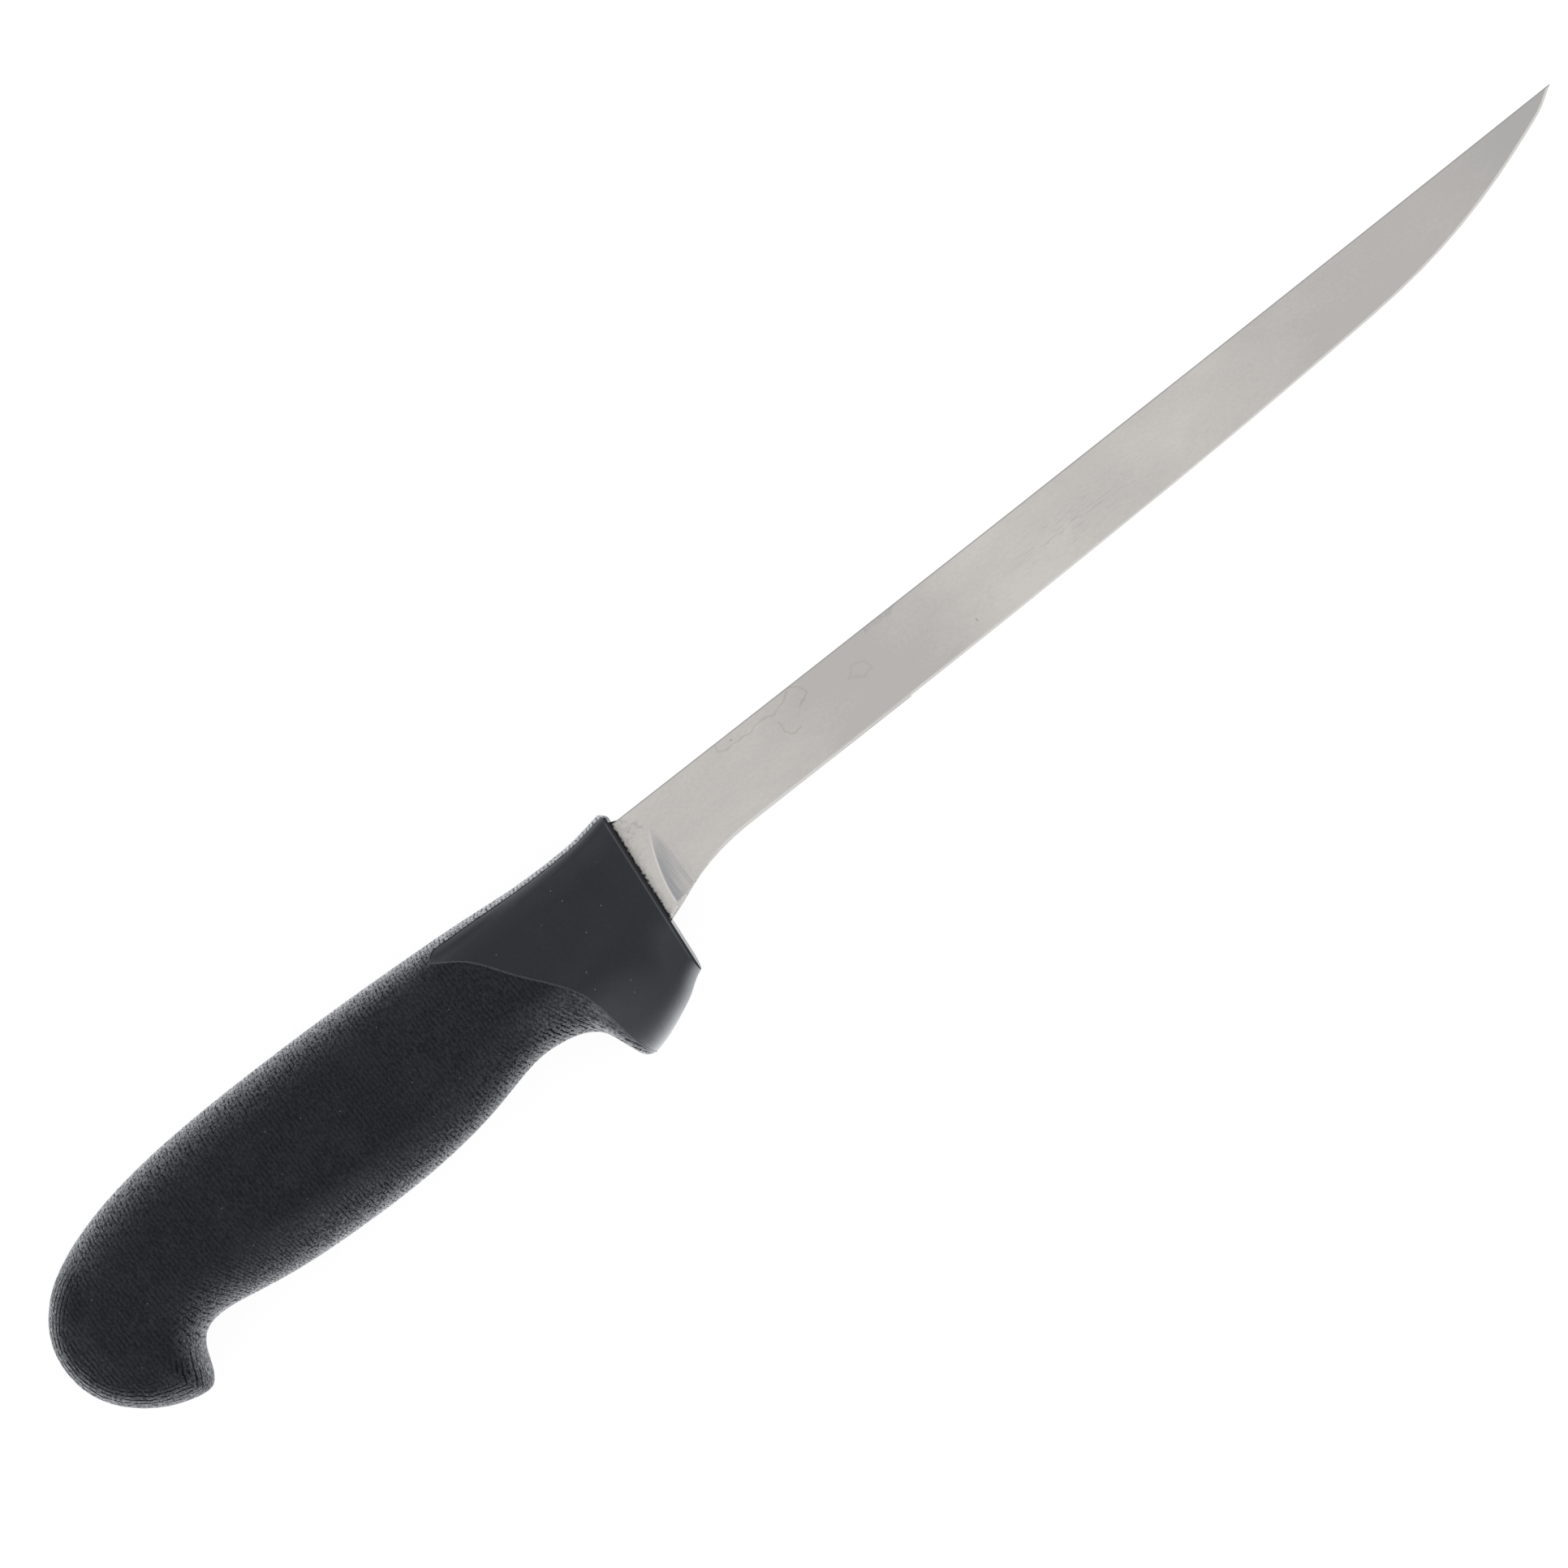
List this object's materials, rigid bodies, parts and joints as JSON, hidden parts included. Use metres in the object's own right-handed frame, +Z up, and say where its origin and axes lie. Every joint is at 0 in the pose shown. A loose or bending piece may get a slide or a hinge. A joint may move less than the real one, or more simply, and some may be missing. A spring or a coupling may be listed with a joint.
{
  "type": "fillet knife",
  "caption": "Fillet knife with a long, narrow, thin blade and a hooked black moulded handle: a hard core with smooth cheeks and a finger guard under a knit-textured soft grip.",
  "frame": {"origin": "middle of the bounding box at the bottom, on the surface that the knife lies on with its left side", "axes": "+X from the butt to the tip, +Y from the edge to the spine, +Z up, out of the right side"},
  "size_m": [0.335, 0.04, 0.02],
  "materials": {
    "steel": "satin",
    "hard_plastic": "matte",
    "soft_grip": "textured"
  },
  "bodies": {
    "root": {"blade": "steel", "core": "hard_plastic", "grip": "soft_grip"}
  },
  "joints": []
}
